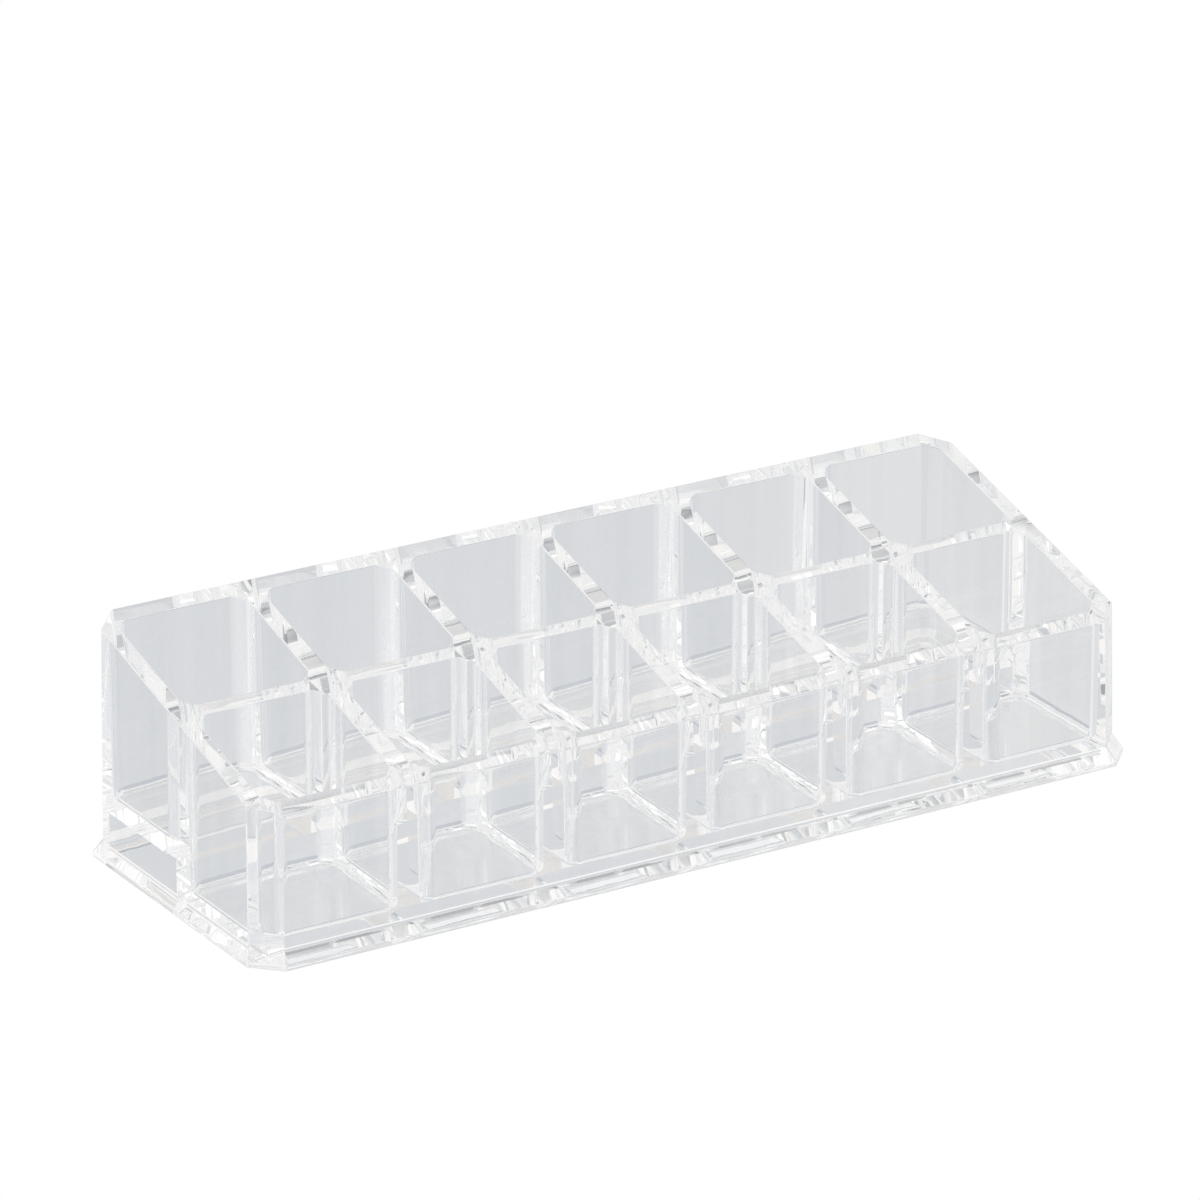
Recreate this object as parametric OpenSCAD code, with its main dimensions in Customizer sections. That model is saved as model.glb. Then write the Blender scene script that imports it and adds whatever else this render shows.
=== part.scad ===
// Clear moulded vanity organizer: two rows of square pockets with cut corners, in one sloping block.
// The back row is taller and its floor stands higher, over a hollow that is open from below.
// The block is divided where one wall meets the next; every piece touches its neighbours face to face.
// Each row's floor is a tray with the rounds at the foot of its pockets and low ridges under its dividers.
// Millimetres. Z = 0 is the surface it stands on; X runs along the length and -Y is the low front.

/* [Pockets] */
// Number of pockets along each row
columns = 6; // [2:1:10]
// Width and depth of a pocket at the height of the back edge
pocket_w = 31.5; // [22:0.5:60]
// Cut across each upright corner of a pocket
pocket_corner = 2.7; // [1:0.1:6]
// How far each side of a pocket leans in on the way down to the round at its foot
pocket_draft = 0.5; // [0.1:0.1:1.5]
// Radius of the round between a pocket's sides and its floor
floor_round = 1.5; // [0.5:0.1:2.5]

/* [Walls] */
// Thickness of the walls between neighbours in a row, at the top
divider_t = 4.3; // [2:0.1:10]
// Thickness of the two end walls, at the top
end_wall_t = 3.8; // [2:0.1:8]
// Thickness of the low front wall, at the top
front_wall_t = 4.2; // [2:0.1:8]
// Thickness of the tall back wall, at the top
back_wall_t = 4.4; // [2:0.1:8]
// Thickness of the wall between the two rows, at the top
middle_wall_t = 3.4; // [2:0.1:8]
// Thickness of the pocket floors
floor_t = 3.8; // [1.5:0.1:4.4]

/* [Body] */
// Height of the back edge
back_h = 55; // [45:1:90]
// Height of the front edge
front_h = 34; // [20:1:44]
// Height of the back row's floor, on its upper side
back_floor_h = 14; // [8:0.5:30]
// Height of the front row's floor, on its upper side
front_floor_h = 4.8; // [4.5:0.1:12]
// Height of the ridges between pockets, above the floor that they are part of
ridge_h = 3; // [2.6:0.1:5]
// Cut across each upright corner of the body
corner_cut = 5.6; // [2:0.1:7.5]
// How far each outer side leans out on the way down to the foot
outer_draft = 0.8; // [0.1:0.1:2]

/* [Foot rim] */
// Height at which the rim's slope meets the walls
rim_h = 4.2; // [2.5:0.1:4.4]
// Height of the rim's upright lip
rim_lip = 1.2; // [0.5:0.1:2]
// How far the rim stands out past the foot of the front and back walls
rim_reach_side = 2.5; // [0.5:0.1:5]
// How far the rim stands out past the foot of the end walls
rim_reach_end = 1.5; // [0.5:0.1:5]
// Cut across each corner of the rim
rim_corner = 6.1; // [2:0.1:8]

/* [Hidden] */

clear_tint = [0.87, 0.9, 0.93, 0.4];
// Flat faces that make up each round
round_faces = 3;
// Extra length of a cutting shape past the face that it crosses
overrun = 2;

pitch = pocket_w + divider_t;
body_l = columns * pocket_w + (columns - 1) * divider_t + 2 * end_wall_t;
body_d = front_wall_t + middle_wall_t + back_wall_t + 2 * pocket_w;
front_y = -body_d / 2;
back_y = body_d / 2;
front_row_y = front_y + front_wall_t + pocket_w / 2;
back_row_y = back_y - back_wall_t - pocket_w / 2;

// Planes at which the pieces meet: the inner faces of the walls where they are thickest, just above a round
room_x = body_l / 2 - end_wall_t - pocket_draft;
room_front_y = front_y + front_wall_t + pocket_draft;
room_back_y = back_y - back_wall_t - pocket_draft;
middle_front_y = front_row_y + pocket_w / 2 - pocket_draft;
middle_back_y = back_row_y - pocket_w / 2 + pocket_draft;

function column_x(i) = (i - (columns - 1) / 2) * pitch;

// Height of the sloping top above a place along Y
function top_z(y) = front_h + (y - front_y) * (back_h - front_h) / body_d;

// Share of a full lean that is reached at a height: none at the back edge's height, all at the low end
function lean_share(z, low_z) = (back_h - z) / (back_h - low_z);

// One level of the outer body: height, size along X, size along Y and corner cut
function body_level(z) =
    let (lean = 2 * outer_draft * lean_share(z, 0)) [z, body_l + lean, body_d + lean, corner_cut];

// The same for a pocket, set in from its sides at a round's levels and leaning above the round.
// The stretch moves its front and back apart and leaves its corner faces where they are
function pocket_level(z, inset, lean, stretch) =
    let (w = pocket_w - 2 * lean - 2 * inset)
    [z, w, w + 2 * stretch, pocket_corner - (2 - sqrt(2)) * inset + stretch];

// One level of a pocket's sides alone, which keep the same slope from end to end
function side_level(z, floor_h, stretch) =
    pocket_level(z, 0, pocket_draft * lean_share(z, floor_h + floor_round), stretch);

// Levels of what shapes the walls beside a pocket: its sides, straight on past the round and the back edge
function side_levels(floor_h, stretch) =
    [side_level(floor_h, floor_h, stretch), side_level(back_h + overrun, floor_h, stretch)];

// One level of the round at a pocket's foot, at a turn from the flat floor towards its sides
function round_level(turn, floor_h) =
    let (rise = floor_round * (1 - cos(turn)))
    let (inset = floor_round * (1 - sin(turn)))
    pocket_level(floor_h + rise, inset, pocket_draft, 0);

// Levels of what shapes a floor: up the round from its flat part, and then on past the back edge
function foot_levels(floor_h) = concat(
    [for (k = [0 : round_faces]) round_level(90 * k / round_faces, floor_h)],
    [side_level(back_h + overrun, floor_h, 0)]
);

// Solid between two opposite faces that follow an outline of [half width, height] points
module between_faces(outline, turn, reach) {
    last = len(outline) - 1;
    other_side = [for (k = [0 : last]) [-outline[last - k].x, outline[last - k].y]];
    rotate([0, 0, turn])
        rotate([90, 0, 0])
            linear_extrude(height = reach, center = true)
                polygon(concat(outline, other_side));
}

// Upright eight-sided solid whose faces run straight from each level to the next
module eight_sided(levels) {
    reach = 2 * (max([for (v = levels) v[1]]) + max([for (v = levels) v[2]]));
    across_x = [for (v = levels) [v[1] / 2, v[0]]];
    across_y = [for (v = levels) [v[2] / 2, v[0]]];
    across_corners = [for (v = levels) [((v[1] + v[2]) / 2 - v[3]) / sqrt(2), v[0]]];
    intersection() {
        between_faces(across_x, 0, reach);
        between_faces(across_y, 90, reach);
        between_faces(across_corners, 45, reach);
        between_faces(across_corners, 135, reach);
    }
}

// Box from one corner to the opposite one
module block(low, high) {
    translate(low)
        cube(high - low);
}

// Everything below the sloping top
module under_slope() {
    side_y = body_d / 2 + outer_draft + overrun;
    rotate([90, 0, 90])
        linear_extrude(height = body_l + 2 * (outer_draft + overrun), center = true)
            polygon([[-side_y, 0], [side_y, 0], [side_y, top_z(side_y)], [-side_y, top_z(-side_y)]]);
}

module outer_body() {
    intersection() {
        eight_sided([body_level(0), body_level(back_h + overrun)]);
        under_slope();
    }
}

// The air in neighbouring pockets
module pocket_spaces(first, last, row_y, levels) {
    for (i = [first : last])
        translate([column_x(i), row_y, 0])
            eight_sided(levels);
}

module front_pockets(first, last, stretch = 0) {
    pocket_spaces(first, last, front_row_y, side_levels(front_floor_h, stretch));
}

module back_pockets(first, last, stretch = 0) {
    pocket_spaces(first, last, back_row_y, side_levels(back_floor_h, stretch));
}

// Flared frame around the foot, which the outer walls stand on
module base_rim() {
    foot = body_level(0);
    seat = body_level(rim_h);
    rim_l = foot[1] + 2 * rim_reach_end;
    rim_d = foot[2] + 2 * rim_reach_side;
    color(clear_tint)
        difference() {
            eight_sided([[0, rim_l, rim_d, rim_corner], [rim_lip, rim_l, rim_d, rim_corner], seat]);
            block([-room_x, room_front_y, -overrun], [room_x, room_back_y, rim_h + overrun]);
        }
}

module front_wall() {
    color(clear_tint)
        difference() {
            intersection() {
                outer_body();
                block([-room_x, -body_d, rim_h], [room_x, room_front_y, back_h]);
            }
            front_pockets(0, columns - 1);
        }
}

module back_wall() {
    color(clear_tint)
        difference() {
            intersection() {
                outer_body();
                block([-room_x, room_back_y, rim_h], [room_x, body_d, back_h + overrun]);
            }
            back_pockets(0, columns - 1);
        }
}

// Upright slab from a floor's ridges to the sloping top, which the pockets on its sides then shape
module slab(low_x, high_x, low_y, high_y, floor_h) {
    intersection() {
        under_slope();
        block([low_x, low_y, floor_h + ridge_h], [high_x, high_y, back_h]);
    }
}

// End wall with the corners of the body and the cut corners of the pockets beside it
module end_wall(column) {
    color(clear_tint)
        difference() {
            union() {
                intersection() {
                    outer_body();
                    block([room_x, -body_d, rim_h], [body_l, body_d, back_h + overrun]);
                }
                slab(column_x(column), room_x, room_front_y, middle_front_y, front_floor_h);
                slab(column_x(column), room_x, middle_back_y, room_back_y, back_floor_h);
            }
            front_pockets(column, column, overrun);
            back_pockets(column, column, overrun);
        }
}

module right_end_wall() {
    end_wall(columns - 1);
}

module left_end_wall() {
    mirror([1, 0, 0])
        end_wall(columns - 1);
}

// Wall between the rows, down to the surface that the organizer stands on
module middle_wall() {
    color(clear_tint)
        difference() {
            intersection() {
                under_slope();
                block([-room_x, middle_front_y, 0], [room_x, middle_back_y, back_h]);
            }
            front_pockets(0, columns - 1);
            back_pockets(0, columns - 1);
        }
}

// What a row's floor is cut from: as long as the room inside the walls, and as high as the ridges
module floor_block(low_y, high_y, floor_h) {
    block([-room_x, low_y, floor_h - floor_t], [room_x, high_y, floor_h + ridge_h]);
}

module front_floor() {
    color(clear_tint)
        difference() {
            floor_block(room_front_y, middle_front_y, front_floor_h);
            pocket_spaces(0, columns - 1, front_row_y, foot_levels(front_floor_h));
        }
}

module back_floor() {
    color(clear_tint)
        difference() {
            floor_block(middle_back_y, room_back_y, back_floor_h);
            pocket_spaces(0, columns - 1, back_row_y, foot_levels(back_floor_h));
        }
}

// A divider is what two neighbouring pockets leave between them, with the cut corners on both of its sides
module front_divider(number) {
    color(clear_tint)
        difference() {
            slab(column_x(number - 1), column_x(number), room_front_y, middle_front_y, front_floor_h);
            front_pockets(number - 1, number, overrun);
        }
}

module back_divider(number) {
    color(clear_tint)
        difference() {
            slab(column_x(number - 1), column_x(number), middle_back_y, room_back_y, back_floor_h);
            back_pockets(number - 1, number, overrun);
        }
}

base_rim();
front_wall();
back_wall();
left_end_wall();
right_end_wall();
middle_wall();
front_floor();
back_floor();
for (i = [1 : columns - 1]) {
    front_divider(i);
    back_divider(i);
}
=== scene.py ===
"""Looks of the clear vanity organizer: one moulding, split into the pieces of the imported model."""

import math

import bmesh
import bpy
from mathutils import Matrix, Vector
from mathutils.bvhtree import BVHTree


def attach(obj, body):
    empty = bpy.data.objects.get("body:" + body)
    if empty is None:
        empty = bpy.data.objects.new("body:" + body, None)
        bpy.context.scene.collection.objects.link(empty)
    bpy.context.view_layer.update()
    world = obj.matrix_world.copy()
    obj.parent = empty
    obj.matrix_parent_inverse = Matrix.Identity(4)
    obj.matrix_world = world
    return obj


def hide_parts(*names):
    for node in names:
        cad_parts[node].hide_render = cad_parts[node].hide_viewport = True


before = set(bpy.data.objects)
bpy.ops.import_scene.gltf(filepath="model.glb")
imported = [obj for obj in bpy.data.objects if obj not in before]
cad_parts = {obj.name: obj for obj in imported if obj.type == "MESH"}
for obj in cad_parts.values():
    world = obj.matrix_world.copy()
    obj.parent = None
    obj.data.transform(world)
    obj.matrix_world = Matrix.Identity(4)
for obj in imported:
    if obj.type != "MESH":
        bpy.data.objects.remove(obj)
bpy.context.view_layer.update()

MM = 0.001  # metres in a millimetre

# Sizes in millimetres, the same as the solids have
COLUMNS = 6
POCKET_W, POCKET_CORNER, POCKET_DRAFT = 31.5, 2.7, 0.5
DIVIDER_T, END_T, FRONT_T, BACK_T, MIDDLE_T, FLOOR_T = 4.3, 3.8, 4.2, 4.4, 3.4, 3.8
BACK_H, FRONT_H, BACK_FLOOR_H, FRONT_FLOOR_H = 55.0, 34.0, 14.0, 4.8
CORNER_CUT, OUTER_DRAFT = 5.6, 0.8
RIM_H, RIM_LIP, RIM_SIDE, RIM_END, RIM_CORNER = 4.2, 1.2, 2.5, 1.5, 6.1

PITCH = POCKET_W + DIVIDER_T
BODY_L = COLUMNS * POCKET_W + (COLUMNS - 1) * DIVIDER_T + 2 * END_T
BODY_D = FRONT_T + MIDDLE_T + BACK_T + 2 * POCKET_W
FRONT_Y, BACK_Y = -BODY_D / 2, BODY_D / 2
ROW_Y = {"front": FRONT_Y + FRONT_T + POCKET_W / 2, "back": BACK_Y - BACK_T - POCKET_W / 2}
FLOOR_H = {"front": FRONT_FLOOR_H, "back": BACK_FLOOR_H}
ROOM_X = BODY_L / 2 - END_T - POCKET_DRAFT
ROOM_Y = {
    "front": (FRONT_Y + FRONT_T + POCKET_DRAFT, ROW_Y["front"] + POCKET_W / 2 - POCKET_DRAFT),
    "back": (ROW_Y["back"] - POCKET_W / 2 + POCKET_DRAFT, BACK_Y - BACK_T - POCKET_DRAFT),
}
SLOPE = (BACK_H - FRONT_H) / BODY_D
RIDGE_H = 3.0  # the floors hold the foot of the dividers up to this height above the pocket floor
FLOOR_ROUND, ROUND_STEPS = 1.5, 4  # radius where a pocket's sides meet its floor, and facets in it
CORNER_ROUND, CORNER_STEPS = 1.8, 3  # radius where a pocket's sides meet its cut corners, and facets in it
EDGE, EDGE_STEPS = 0.3, 2  # width of the softened outer edges, and facets in them
SHARP_BEND = 12  # edges that bend outwards by more than this many degrees are softened
CONVEX_BEND, HOLLOW_BEND = 50, 26  # facets that meet at fewer degrees than this shade as one round

ABOVE = 5.0  # lines that are cut at the sloping top run on to this height above the back edge
FAR = 400.0  # outside the moulding on any side
PLACES = 4  # decimals to which corners are rounded
ON_PLANE = 0.001  # corners this close to a cutting plane lie on it
NEAR = 0.01  # a triangle this close to the moulding's surface is a part of it
TURN_PLACES, AWAY_PLACES = 3, 1  # decimals that tell flat faces apart, by normal and by distance
SAME_WAY = 0.99  # cosine between normals that count as the same

# Surface of the plastic: waves per metre along each axis, and depths in metres
WAVES_PER_METRE, WAVE_DEPTH = (24, 24, 84), 0.00003
SINK_TOP, SINK_BOTTOM, SINK_GAIN = 0.018, 0.010, 3.0  # the waves deepen between these heights
DRAG_PER_METRE, DRAG_DEPTH = (330, 330, 14), 0.0000015
HAZE_PER_METRE, HAZE_SPREAD, HAZE = (45, 45, 45), (0.50, 0.72), (0.0, 0.018)
FLOW_PER_METRE, TONE_SPREAD = (200, 200, 7), (0.35, 0.65)
DENSE_TONE, CLEAR_TONE = (0.952, 0.956, 0.962), (0.995, 0.995, 0.995)
REFRACTION = 1.57

# Camera, fitted to the photograph: axes, place in metres, and focal length in pixels of the image
AHEAD, RIGHT = (0.48098774, 0.79756983, -0.36405104), (0.85526165, -0.51816995, -0.00523649)
CAMERA_PLACE = (-0.79137, -1.30596, 0.64493)
FOCAL_PIXELS, IMAGE_PIXELS, SENSOR = 7542.95, 1200, 36
CLIP = (0.05, 20)

STAGE_HALF, STAGE_DROP = 3, 0.0002  # half width of the floor, and how far it lies under the foot, in metres
TURNS, CLEAR_TURNS, SOFT_TURNS = 256, 512, 4  # bounces in plastic, through joint faces and off dull things


def column_x(i):
    """Middle of a column of pockets."""
    return (i - (COLUMNS - 1) / 2) * PITCH


def top_z(y):
    """Height of the sloping top."""
    return FRONT_H + (y - FRONT_Y) * SLOPE


def on_slope(low, high):
    """Where the line through two points meets the sloping top."""
    a = low.z - top_z(low.y)
    b = high.z - top_z(high.y)
    return low + (high - low) * (a / (a - b))


def octagon(length, depth, corner, z, centre=(0.0, 0.0)):
    """Eight corners, anticlockwise from the right side's front end."""
    hx, hy = length / 2, depth / 2
    cx, cy = hx - corner, hy - corner
    outline = [(hx, -cy), (hx, cy), (cx, hy), (-cx, hy), (-hx, cy), (-hx, -cy), (-cx, -hy), (cx, -hy)]
    return [Vector((x + centre[0], y + centre[1], z)) for x, y in outline]


def body_ring(z):
    """Outline of the outer walls at a height."""
    lean = 2 * OUTER_DRAFT * (BACK_H - z) / BACK_H
    return octagon(BODY_L + lean, BODY_D + lean, CORNER_CUT, z)


def pocket_ring(i, row, z, inset=0.0):
    """Outline of a pocket at a height, set in where its foot is rounded."""
    low_z = FLOOR_H[row] + FLOOR_ROUND
    w = POCKET_W - 2 * POCKET_DRAFT * (BACK_H - max(z, low_z)) / (BACK_H - low_z) - 2 * inset
    return octagon(w, w, POCKET_CORNER - (2 - math.sqrt(2)) * inset, z, (column_x(i), ROW_Y[row]))


def pocket_foot(i, row):
    """Rings of the round at the foot of a pocket's sides, from the flat floor up."""
    rings = []
    for step in range(ROUND_STEPS + 1):
        turn = math.pi / 2 * step / ROUND_STEPS
        z = FLOOR_H[row] + FLOOR_ROUND * (1 - math.cos(turn))
        rings.append(pocket_ring(i, row, z, FLOOR_ROUND * (1 - math.sin(turn))))
    return rings


def softened(ring):
    """A pocket's eight corners, each as the points of a small arc."""
    arcs = []
    for k, corner in enumerate(ring):
        to_last = (ring[k - 1] - corner).normalized()
        to_next = (ring[(k + 1) % len(ring)] - corner).normalized()
        half = to_last.angle(to_next) / 2
        centre = corner + (to_last + to_next).normalized() * (CORNER_ROUND / math.sin(half))
        start = corner + to_last * (CORNER_ROUND / math.tan(half)) - centre
        end = corner + to_next * (CORNER_ROUND / math.tan(half)) - centre
        sweep = start.angle(end)
        arcs.append([
            centre + (start * math.sin(sweep * (1 - t)) + end * math.sin(sweep * t)) / math.sin(sweep)
            for t in (step / CORNER_STEPS for step in range(CORNER_STEPS + 1))])
    return arcs


def joined(arcs):
    """The points of all the arcs as one ring."""
    return [p for arc in arcs for p in arc]


class Shell:
    """Vertices that are shared by place, and faces between them."""

    def __init__(self):
        self.points, self.index, self.faces = [], {}, []

    def corner(self, p):
        key = tuple(round(c, PLACES) for c in p)
        if key not in self.index:
            self.index[key] = len(self.points)
            self.points.append(key)
        return self.index[key]

    def face(self, *corners):
        self.faces.append([self.corner(p) for p in corners])

    def band(self, low, high):
        """Quads between two rings of as many corners."""
        for k in range(len(low)):
            n = (k + 1) % len(low)
            self.face(low[k], low[n], high[n], high[k])


def moulding():
    """The whole object as one closed mesh with softened outer edges."""
    s = Shell()
    pockets = {}
    for row in ("front", "back"):
        for i in range(COLUMNS):
            foot = [softened(ring) for ring in pocket_foot(i, row)]
            for lower, upper_ring in zip(foot, foot[1:]):
                s.band(joined(lower), joined(upper_ring))
            low = foot[-1]
            above = softened(pocket_ring(i, row, BACK_H + ABOVE))
            high = [[on_slope(a, b) for a, b in zip(*arcs)] for arcs in zip(low, above)]
            mids = {side: (high[k][-1] + high[k + 1][0]) / 2 for side, k in zip("RBLF", (0, 2, 4, 6))}
            for k in range(8):
                n = (k + 1) % 8
                for j in range(CORNER_STEPS):
                    s.face(low[k][j], low[k][j + 1], high[k][j + 1], high[k][j])
                extra = [mids["RBLF"[k // 2]]] if k % 2 == 0 else []
                s.face(low[k][-1], low[n][0], high[n][0], *extra, high[k][-1])
            s.face(*joined(foot[0]))
            pockets[i, row] = (high, mids)

    seat = body_ring(RIM_H)
    top = [on_slope(a, b) for a, b in zip(seat, body_ring(BACK_H + ABOVE))]

    def between(a, b, axis, value):
        """The point of the edge a to b that has this x (axis 0) or y (axis 1)."""
        return a + (b - a) * ((value - a[axis]) / (b[axis] - a[axis]))

    out_front = [between(top[6], top[7], 0, column_x(i)) for i in range(COLUMNS)]
    out_back = [between(top[3], top[2], 0, column_x(i)) for i in range(COLUMNS)]
    out_right = [between(top[0], top[1], 1, pockets[COLUMNS - 1, r][1]["R"].y) for r in ("front", "back")]
    out_left = [between(top[5], top[4], 1, pockets[0, r][1]["L"].y) for r in ("front", "back")]

    # The sloping top, one face round each place where walls cross
    for a in range(COLUMNS + 1):
        lf, rf = pockets.get((a - 1, "front")), pockets.get((a, "front"))
        lb, rb = pockets.get((a - 1, "back")), pockets.get((a, "back"))
        loop = []
        if lf:
            loop += [lf[1]["R"], *lf[0][1], *lf[0][2], lf[1]["B"]]
            loop += [lb[1]["F"], *lb[0][7], *lb[0][0], lb[1]["R"]]
        else:
            loop += [out_left[0], out_left[1]]
        if rf:
            loop += [rb[1]["L"], *rb[0][5], *rb[0][6], rb[1]["F"]]
            loop += [rf[1]["B"], *rf[0][3], *rf[0][4], rf[1]["L"]]
        else:
            loop += [out_right[1], out_right[0]]
        s.face(*loop)
        loop = []
        if lf:
            loop += [out_front[a - 1], lf[1]["F"], *lf[0][7], *lf[0][0], lf[1]["R"]]
        else:
            loop += [top[6], top[5], out_left[0]]
        if rf:
            loop += [rf[1]["L"], *rf[0][5], *rf[0][6], rf[1]["F"], out_front[a]]
        else:
            loop += [out_right[0], top[0], top[7]]
        s.face(*loop)
        loop = []
        if lb:
            loop += [out_back[a - 1], lb[1]["B"], *lb[0][2][::-1], *lb[0][1][::-1], lb[1]["R"]]
        else:
            loop += [top[3], top[4], out_left[1]]
        if rb:
            loop += [rb[1]["L"], *rb[0][4][::-1], *rb[0][3][::-1], rb[1]["B"], out_back[a]]
        else:
            loop += [out_right[1], top[1], top[2]]
        s.face(*loop)

    # Outer walls, with the corners that the top has along their upper edges
    upper = {0: out_right[::-1], 2: out_back, 4: out_left, 6: out_front[::-1]}
    for k in range(8):
        n = (k + 1) % 8
        s.face(seat[k], seat[n], top[n], *upper.get(k, []), top[k])

    # Foot rim
    foot = body_ring(0)
    rim_l = 2 * foot[0].x + 2 * RIM_END
    rim_d = 2 * foot[2].y + 2 * RIM_SIDE
    low, lip = octagon(rim_l, rim_d, RIM_CORNER, 0), octagon(rim_l, rim_d, RIM_CORNER, RIM_LIP)
    s.band(low, lip)
    s.band(lip, seat)

    # Underside, with a shallow recess under the front row and a deep one under the back row
    (y0, y1), (y2, y3) = ROOM_Y["front"], ROOM_Y["back"]
    x = ROOM_X

    def at(px, py, pz=0.0):
        return Vector((px, py, pz))

    s.face(low[6], low[7], at(x, y0), at(-x, y0))
    s.face(low[7], low[0], at(x, y0))
    s.face(low[0], low[1], at(x, y3), at(x, y2), at(x, y1), at(x, y0))
    s.face(low[1], low[2], at(x, y3))
    s.face(low[2], low[3], at(-x, y3), at(x, y3))
    s.face(low[3], low[4], at(-x, y3))
    s.face(low[4], low[5], at(-x, y0), at(-x, y1), at(-x, y2), at(-x, y3))
    s.face(low[5], low[6], at(-x, y0))
    s.face(at(-x, y1), at(x, y1), at(x, y2), at(-x, y2))
    for row in ("front", "back"):
        ya, yb = ROOM_Y[row]
        h = FLOOR_H[row] - FLOOR_T
        mouth = [at(-x, ya), at(x, ya), at(x, yb), at(-x, yb)]
        roof = [at(p.x, p.y, h) for p in mouth]
        s.band(mouth, roof)
        s.face(*roof)

    bm = bmesh.new()
    verts = [bm.verts.new(p) for p in s.points]
    for f in s.faces:
        bm.faces.new([verts[k] for k in f])
    bmesh.ops.recalc_face_normals(bm, faces=bm.faces)
    if bm.calc_volume(signed=True) < 0:
        bmesh.ops.reverse_faces(bm, faces=bm.faces)
    loose = [e for e in bm.edges if len(e.link_faces) != 2]
    assert not loose, f"{len(loose)} edges of the moulding are open"
    sharp = [e for e in bm.edges if e.calc_face_angle_signed() > math.radians(SHARP_BEND)]
    bmesh.ops.bevel(bm, geom=sharp, offset=EDGE, offset_type="OFFSET", segments=EDGE_STEPS, profile=0.5,
                    affect="EDGES", clamp_overlap=False)
    for v in bm.verts:
        v.co = Vector(round(c, PLACES) for c in v.co)
    bmesh.ops.triangulate(bm, faces=bm.faces)
    return bm


def box_mesh(low, high):
    """Closed mesh of a box."""
    bm = bmesh.new()
    corners = [
        bm.verts.new((x, y, z))
        for z in (low[2], high[2]) for y in (low[1], high[1]) for x in (low[0], high[0])]
    for f in ((0, 2, 3, 1), (4, 5, 7, 6), (0, 1, 5, 4), (2, 6, 7, 3), (0, 4, 6, 2), (1, 3, 7, 5)):
        bm.faces.new([corners[k] for k in f])
    return bm


def add_object(name, bm):
    """The mesh as an object in the scene."""
    mesh = bpy.data.meshes.new(name)
    bm.to_mesh(mesh)
    obj = bpy.data.objects.new(name, mesh)
    bpy.context.scene.collection.objects.link(obj)
    return obj


def carve(bm, operation, low, high):
    """The mesh cut by a box, with exact arithmetic."""
    obj, tool = add_object("carved", bm), add_object("tool", box_mesh(low, high))
    mod = obj.modifiers.new("cut", "BOOLEAN")
    mod.operation, mod.solver, mod.object = operation, "EXACT", tool
    bpy.context.view_layer.update()
    out = bmesh.new()
    out.from_object(obj, bpy.context.evaluated_depsgraph_get())
    for o in (obj, tool):
        mesh = o.data
        bpy.data.objects.remove(o)
        bpy.data.meshes.remove(mesh)
    return out


def keep(bm, low, high):
    """What the box holds of the mesh."""
    return carve(bm, "INTERSECT", low, high)


def lose(bm, low, high):
    """What the box leaves of the mesh."""
    return carve(bm, "DIFFERENCE", low, high)


def split(whole):
    """Every piece of the moulding, by the name of its node."""
    x, (y0, y1), (y2, y3) = ROOM_X, ROOM_Y["front"], ROOM_Y["back"]
    rows = {"front": (y0, y1), "back": (y2, y3)}
    made = {}
    foot = keep(whole, (-FAR, -FAR, -FAR), (FAR, FAR, RIM_H))
    made["base_rim"] = lose(foot, (-x, y0, -FAR), (x, y3, FAR))
    made["front_wall"] = keep(whole, (-x, -FAR, RIM_H), (x, y0, FAR))
    made["back_wall"] = keep(whole, (-x, y3, RIM_H), (x, FAR, FAR))
    made["middle_wall"] = keep(whole, (-x, y1, -FAR), (x, y2, FAR))
    for row, (ya, yb) in rows.items():
        made[row + "_floor"] = keep(whole, (-x, ya, -FAR), (x, yb, FLOOR_H[row] + RIDGE_H))
        for n in range(1, COLUMNS):
            made[f"{row}_divider_{n}"] = keep(
                whole, (column_x(n - 1), ya, FLOOR_H[row] + RIDGE_H), (column_x(n), yb, FAR))
    for side, sign in (("left", -1), ("right", 1)):
        def span(a, b, ya, yb, za, zb):
            """Corners of a box between two distances out from the middle, on this side."""
            lo, hi = sorted((sign * a, sign * b))
            return (lo, ya, za), (hi, yb, zb)

        inner = column_x(COLUMNS - 1)
        end = keep(whole, *span(inner, FAR, -FAR, FAR, RIM_H, FAR))
        end = lose(end, *span(-FAR, x, -FAR, y0, -FAR, FAR))
        end = lose(end, *span(-FAR, x, y3, FAR, -FAR, FAR))
        end = lose(end, *span(-FAR, x, y1, y2, -FAR, FAR))
        for row, (ya, yb) in rows.items():
            end = lose(end, *span(-FAR, x, ya, yb, -FAR, FLOOR_H[row] + RIDGE_H))
        made[side + "_end_wall"] = end
    return made


whole = moulding()
surface = BVHTree.FromBMesh(whole)
pieces = split(whole)

# Materials


def link(nt, source, target):
    nt.links.new(source, target)


def value_node(nt, operation, *inputs):
    """Result of arithmetic on numbers and sockets."""
    node = nt.nodes.new("ShaderNodeMath")
    node.operation = operation
    for socket, value in zip(node.inputs, inputs):
        if isinstance(value, (int, float)):
            socket.default_value = value
        else:
            link(nt, value, socket)
    return node.outputs[0]


def blend(nt, factor, low, high, from_min, from_max):
    """Number that goes smoothly from low to high as the factor crosses a range."""
    node = nt.nodes.new("ShaderNodeMapRange")
    node.interpolation_type = "SMOOTHSTEP"
    link(nt, factor, node.inputs["Value"])
    node.inputs["From Min"].default_value = from_min
    node.inputs["From Max"].default_value = from_max
    for socket, value in (("To Min", low), ("To Max", high)):
        if isinstance(value, (int, float)):
            node.inputs[socket].default_value = value
        else:
            link(nt, value, node.inputs[socket])
    return node.outputs["Result"]


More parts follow.
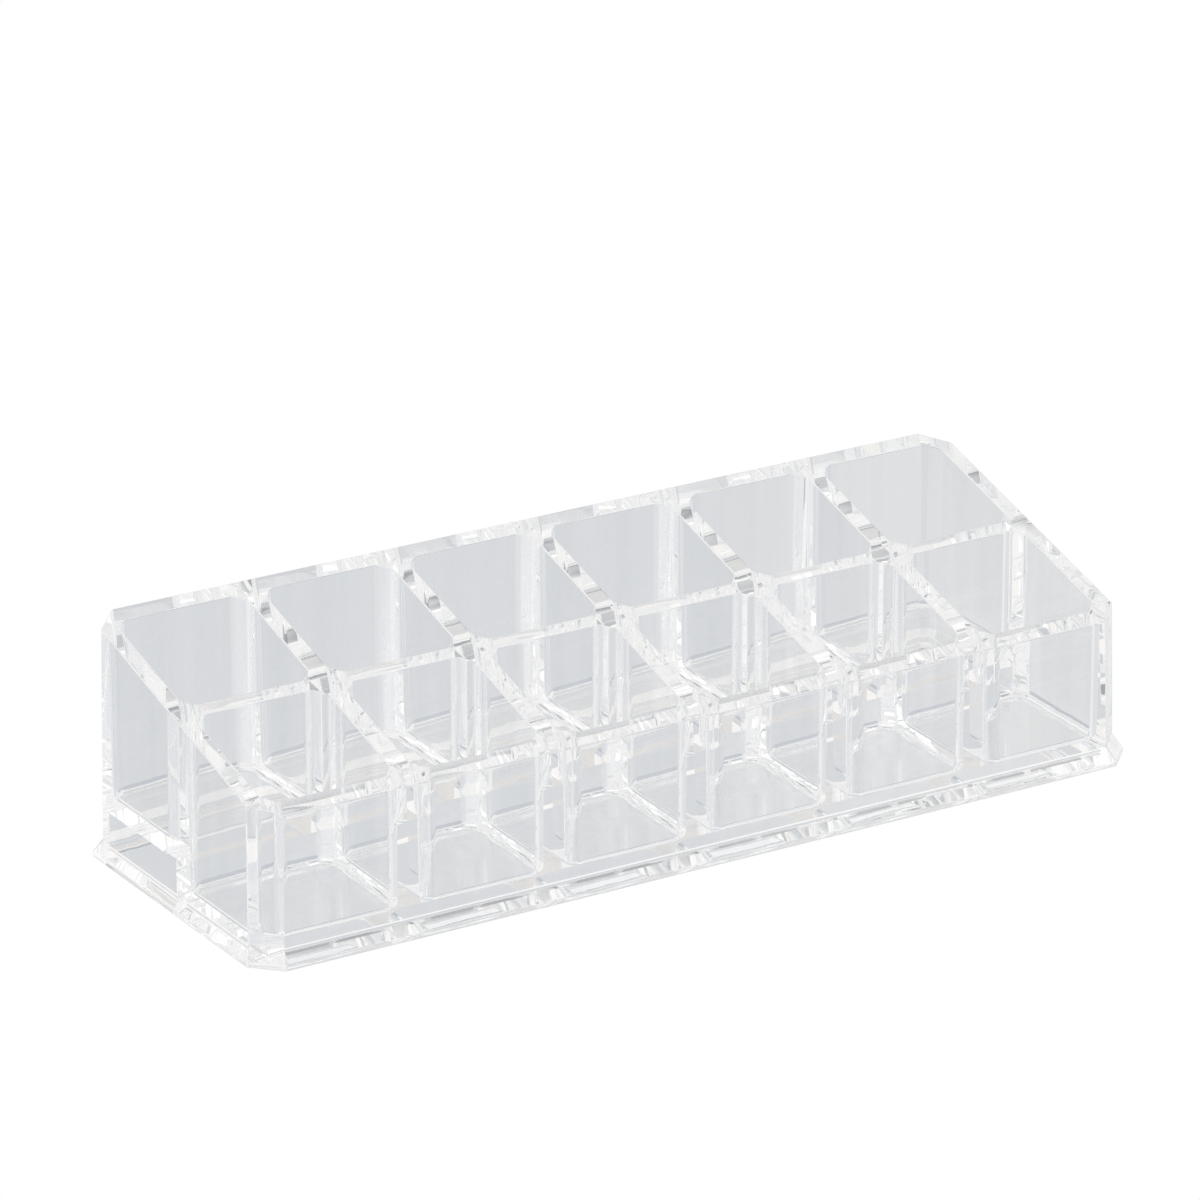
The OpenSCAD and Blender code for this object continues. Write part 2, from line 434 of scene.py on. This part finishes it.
def noise(nt, place, per_metre, detail, distortion=0.0):
    """Noise over the object's own coordinates, with so many waves per metre along each axis."""
    spread = nt.nodes.new("ShaderNodeMapping")
    spread.inputs["Scale"].default_value = per_metre
    link(nt, place, spread.inputs["Vector"])
    node = nt.nodes.new("ShaderNodeTexNoise")
    node.inputs["Scale"].default_value = 1.0
    node.inputs["Detail"].default_value = detail
    node.inputs["Distortion"].default_value = distortion
    link(nt, spread.outputs["Vector"], node.inputs["Vector"])
    return node.outputs["Fac"]


def bump(nt, height, depth, normal=None):
    """Surface detail of a height pattern that spans a depth in metres."""
    node = nt.nodes.new("ShaderNodeBump")
    node.inputs["Strength"].default_value = 1.0
    node.inputs["Distance"].default_value = depth
    link(nt, height, node.inputs["Height"])
    if normal is not None:
        link(nt, normal, node.inputs["Normal"])
    return node.outputs["Normal"]


def plastic():
    """Clear moulded plastic: broad waves, upright drag marks from the mould, thin haze, streaks of tone."""
    mat = bpy.data.materials.new("clear_plastic")
    mat.use_nodes = True
    nt = mat.node_tree
    p = nt.nodes["Principled BSDF"]
    place = nt.nodes.new("ShaderNodeTexCoord").outputs["Object"]

    xyz = nt.nodes.new("ShaderNodeSeparateXYZ")
    link(nt, place, xyz.inputs[0])
    gain = blend(nt, xyz.outputs["Z"], SINK_GAIN, 1.0, SINK_BOTTOM, SINK_TOP)
    waves = value_node(nt, "MULTIPLY", noise(nt, place, WAVES_PER_METRE, detail=1.0, distortion=0.4), gain)
    drag = noise(nt, place, DRAG_PER_METRE, detail=2.0)
    link(nt, bump(nt, drag, DRAG_DEPTH, bump(nt, waves, WAVE_DEPTH)), p.inputs["Normal"])

    haze = blend(nt, noise(nt, place, HAZE_PER_METRE, detail=4.0, distortion=0.6), *HAZE, *HAZE_SPREAD)
    link(nt, haze, p.inputs["Roughness"])

    tone = nt.nodes.new("ShaderNodeValToRGB")
    link(nt, noise(nt, place, FLOW_PER_METRE, detail=2.0, distortion=0.3), tone.inputs["Fac"])
    for stop, at, colour in zip(tone.color_ramp.elements, TONE_SPREAD, (DENSE_TONE, CLEAR_TONE)):
        stop.position = at
        stop.color = (*colour, 1)
    link(nt, tone.outputs["Color"], p.inputs["Base Color"])
    p.inputs["IOR"].default_value = REFRACTION
    p.inputs["Transmission Weight"].default_value = 1.0
    return mat


def unseen():
    """For the faces of a cut, which touch their neighbour inside the plastic, where nothing shows."""
    mat = bpy.data.materials.new("joint_face")
    mat.use_nodes = True
    p = mat.node_tree.nodes["Principled BSDF"]
    p.inputs["Alpha"].default_value = 0.0
    return mat


def is_contact(face, surface):
    """Does the face lie on a cutting plane, inside the moulding?"""
    levels = (
        (-ROOM_X, ROOM_X),
        ROOM_Y["front"] + ROOM_Y["back"],
        (RIM_H, FLOOR_H["front"] + RIDGE_H, FLOOR_H["back"] + RIDGE_H),
    )
    on_plane = any(
        all(abs(v.co[axis] - level) < ON_PLANE for v in face.verts)
        for axis in range(3) for level in levels[axis])
    if not on_plane:
        return False
    _, normal, _, gap = surface.find_nearest(face.calc_center_median())
    return gap > NEAR or normal.dot(face.normal) < SAME_WAY


def rounded_normals(bm):
    """A normal for each corner of each triangle, so that the facets of a round shade as one curve."""
    def plane(f):
        """The same for all triangles of one flat face."""
        away = f.normal.dot(f.verts[0].co)
        return (*(round(c, TURN_PLACES) for c in f.normal), round(away, AWAY_PLACES))

    areas = {}
    for f in bm.faces:
        areas[plane(f)] = areas.get(plane(f), 0) + f.calc_area()
    weight = {f: areas[plane(f)] for f in bm.faces}
    middle = {f: f.calc_center_median() for f in bm.faces}
    normals = []
    for f in bm.faces:
        for v in f.verts:
            total = Vector()
            for g in sorted(v.link_faces, key=lambda g: g.index):
                convex = (middle[g] - v.co).dot(f.normal) < 0
                limit = math.cos(math.radians(CONVEX_BEND if convex else HOLLOW_BEND))
                if g.material_index == f.material_index and f.normal.dot(g.normal) > limit:
                    total += g.normal * weight[g]
            normals.append(total.normalized() if total.length > 0 else f.normal.copy())
    return normals


def put_in_order(bm):
    """Corners and triangles in the order of their places, because the cuts give them in any order."""
    for sequence, place in ((bm.verts, lambda v: v.co), (bm.faces, lambda f: f.calc_center_median())):
        rank = {item: n for n, item in enumerate(sorted(sequence, key=lambda item: tuple(place(item))))}
        sequence.sort(key=rank.get)
        sequence.index_update()


clear, joint = plastic(), unseen()
for name, bm in pieces.items():
    bmesh.ops.triangulate(bm, faces=bm.faces)
    put_in_order(bm)
    for f in bm.faces:
        f.smooth = True
        f.material_index = int(is_contact(f, surface))
    normals = rounded_normals(bm)
    bmesh.ops.scale(bm, vec=(MM, MM, MM), verts=bm.verts)
    piece = add_object("clear_" + name, bm)
    piece.data.normals_split_custom_set([tuple(n) for n in normals])
    piece.data.materials.append(clear)
    piece.data.materials.append(joint)
    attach(piece, "root")
    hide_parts(name)

# Camera, floor and light
camera = bpy.data.objects.new("camera", bpy.data.cameras.new("camera"))
bpy.context.scene.collection.objects.link(camera)
ahead, right = Vector(AHEAD).normalized(), Vector(RIGHT).normalized()
up = right.cross(ahead)
camera.matrix_world = Matrix((
    (right.x, up.x, -ahead.x, CAMERA_PLACE[0]),
    (right.y, up.y, -ahead.y, CAMERA_PLACE[1]),
    (right.z, up.z, -ahead.z, CAMERA_PLACE[2]),
    (0, 0, 0, 1),
))
camera.data.sensor_width = SENSOR
camera.data.lens = SENSOR * FOCAL_PIXELS / IMAGE_PIXELS
camera.data.clip_start, camera.data.clip_end = CLIP
bpy.context.scene.camera = camera

# What the plastic bends and mirrors, by height above the horizon in degrees: brightness, warmth in percent
LEVELS = (
    (-90, 1.00, 3), (-56, 0.94, 2), (-47, 0.84, -3), (-34, 0.83, -3), (-30, 0.78, -3), (-12, 0.78, -3),
    (-9, 0.74, -3), (-7, 0.36, -8), (-4, 0.36, -8), (-2, 0.80, -1), (6, 0.90, 0), (14, 0.95, 2),
    (30, 0.97, 2), (36, 1.02, 0), (47, 1.02, 0), (53, 0.34, -3), (60, 0.40, -4), (68, 0.62, -4),
    (90, 0.66, -4),
)
# Cards and lamps before it: name, direction, height, half width, half height and soft edge, in degrees,
# then brightness and warmth
CARDS = (
    ("key_lamp", 312, 22, 28, 10, 8, 1.25, 2),
    ("key_lamp_high", 305, 41, 50, 9, 8, 1.16, 1),
    ("left_screen", 248, 22, 18, 10, 6, 0.84, -2),
    ("front_horizon", 270, -6, 108, 7, 5, 0.88, 0),
    ("front_table", 277, -21, 24, 10, 6, 0.87, 0),
    ("left_table_lamp", 240, -21, 14, 10, 6, 0.92, 4),
    ("right_table_lamp", 318, -21, 25, 10, 8, 0.86, -2),
    ("side_table_lamp", 0, -21, 16, 10, 6, 0.87, -2),
    ("upper_backdrop", 68, 22, 20, 10, 6, 0.74, 4),
    ("high_backdrop", 50, 41, 26, 9, 6, 0.70, 1),
    ("low_backdrop", 78, -41, 34, 9, 6, 0.53, -8),
    ("behind_table", 122, -21, 16, 10, 6, 0.69, -3),
    ("backdrop_edge", 90, -21, 9, 10, 4, 0.66, -4),
    ("backdrop", 57, -21, 24, 11, 5, 0.705, -3),
    ("backdrop_right", 44, -21, 13.4, 10, 1.8, 0.75, -1.5),
)
TOP_LEVEL = 1.4  # brightness that a colour of one stands for
RED_PART = 0.8  # how much of its warmth a colour takes from red, where all of it comes off blue
LONG_PATH, ENDLESS_PATH = 9, 28  # light that has turned so often comes evenly from all sides
EVEN_LIGHT = (0.95, 1)  # its brightness and warmth


def shade(level, warmth):
    """Colour of a brightness with some percent of warmth."""
    share = level / TOP_LEVEL
    return (share * (1 + RED_PART * warmth / 100), share, share * (1 - warmth / 100), 1)


def mixed(nt, factor, below, above):
    """Colour that goes from one to the other as the factor goes from zero to one."""
    node = nt.nodes.new("ShaderNodeMix")
    node.data_type = "RGBA"
    ends = [socket for socket in node.inputs if socket.type == "RGBA"]
    link(nt, factor, node.inputs[0])
    for socket, colour in zip(ends, (below, above)):
        if isinstance(colour, tuple):
            socket.default_value = colour
        else:
            link(nt, colour, socket)
    return next(socket for socket in node.outputs if socket.type == "RGBA")


def stage_floor():
    """Plain white floor, which only the camera sees."""
    bm = bmesh.new()
    for sx, sy in ((-1, -1), (1, -1), (1, 1), (-1, 1)):
        bm.verts.new((sx * STAGE_HALF, sy * STAGE_HALF, -STAGE_DROP))
    bm.faces.new(bm.verts)
    floor = add_object("floor", bm)
    mat = bpy.data.materials.new("pale_floor")
    mat.use_nodes = True
    nt = mat.node_tree
    nt.nodes.clear()
    out = nt.nodes.new("ShaderNodeOutputMaterial")
    white = nt.nodes.new("ShaderNodeEmission")
    link(nt, white.outputs[0], out.inputs["Surface"])
    floor.data.materials.append(mat)
    floor.visible_glossy = floor.visible_transmission = floor.visible_diffuse = False


def studio():
    """White to the camera; to the plastic, a grey backdrop among soft lamps and pale tables."""
    world = bpy.data.worlds.new("studio")
    bpy.context.scene.world = world
    world.use_nodes = True
    nt = world.node_tree
    nt.nodes.clear()
    out = nt.nodes.new("ShaderNodeOutputWorld")
    place = nt.nodes.new("ShaderNodeTexCoord")
    xyz = nt.nodes.new("ShaderNodeSeparateXYZ")
    link(nt, place.outputs["Generated"], xyz.inputs[0])
    degrees = 180 / math.pi
    height = value_node(nt, "MULTIPLY", value_node(nt, "ARCSINE", xyz.outputs["Z"]), degrees)
    angle = value_node(nt, "ARCTAN2", xyz.outputs["Y"], xyz.outputs["X"])
    around = value_node(nt, "MULTIPLY", angle, degrees)

    ramp = nt.nodes.new("ShaderNodeValToRGB")
    link(nt, value_node(nt, "DIVIDE", value_node(nt, "ADD", height, 90.0), 180.0), ramp.inputs[0])
    stops = ramp.color_ramp.elements
    while len(stops) < len(LEVELS):
        stops.new(0.5)
    for stop, (degree, level, warmth) in zip(stops, LEVELS):
        stop.position = (degree + 90) / 180
        stop.color = shade(level, warmth)
    light = ramp.outputs["Color"]

    for _, at, up_at, half_w, half_h, soft, level, warmth in CARDS:
        aside = value_node(nt, "WRAP", value_node(nt, "SUBTRACT", around, at), 180.0, -180.0)
        turn = value_node(nt, "ABSOLUTE", aside)
        rise = value_node(nt, "ABSOLUTE", value_node(nt, "SUBTRACT", height, up_at))
        across = blend(nt, turn, 1.0, 0.0, half_w - soft / 2, half_w + soft / 2)
        upright = blend(nt, rise, 1.0, 0.0, half_h - soft / 2, half_h + soft / 2)
        inside = value_node(nt, "MULTIPLY", across, upright)
        light = mixed(nt, inside, light, shade(level, warmth))

    path = nt.nodes.new("ShaderNodeLightPath")
    turned = blend(nt, path.outputs["Ray Depth"], 0.0, 1.0, LONG_PATH, ENDLESS_PATH)
    light = mixed(nt, turned, light, shade(*EVEN_LIGHT))
    lit = nt.nodes.new("ShaderNodeBackground")
    link(nt, light, lit.inputs["Color"])
    lit.inputs["Strength"].default_value = TOP_LEVEL
    white = nt.nodes.new("ShaderNodeBackground")
    mix = nt.nodes.new("ShaderNodeMixShader")
    link(nt, path.outputs["Is Camera Ray"], mix.inputs[0])
    link(nt, lit.outputs[0], mix.inputs[1])
    link(nt, white.outputs[0], mix.inputs[2])
    link(nt, mix.outputs[0], out.inputs["Surface"])


stage_floor()
studio()

scene = bpy.context.scene
scene.view_settings.view_transform = "Standard"
scene.cycles.max_bounces = TURNS
scene.cycles.transmission_bounces = TURNS
scene.cycles.glossy_bounces = TURNS
scene.cycles.diffuse_bounces = SOFT_TURNS
scene.cycles.transparent_max_bounces = CLEAR_TURNS
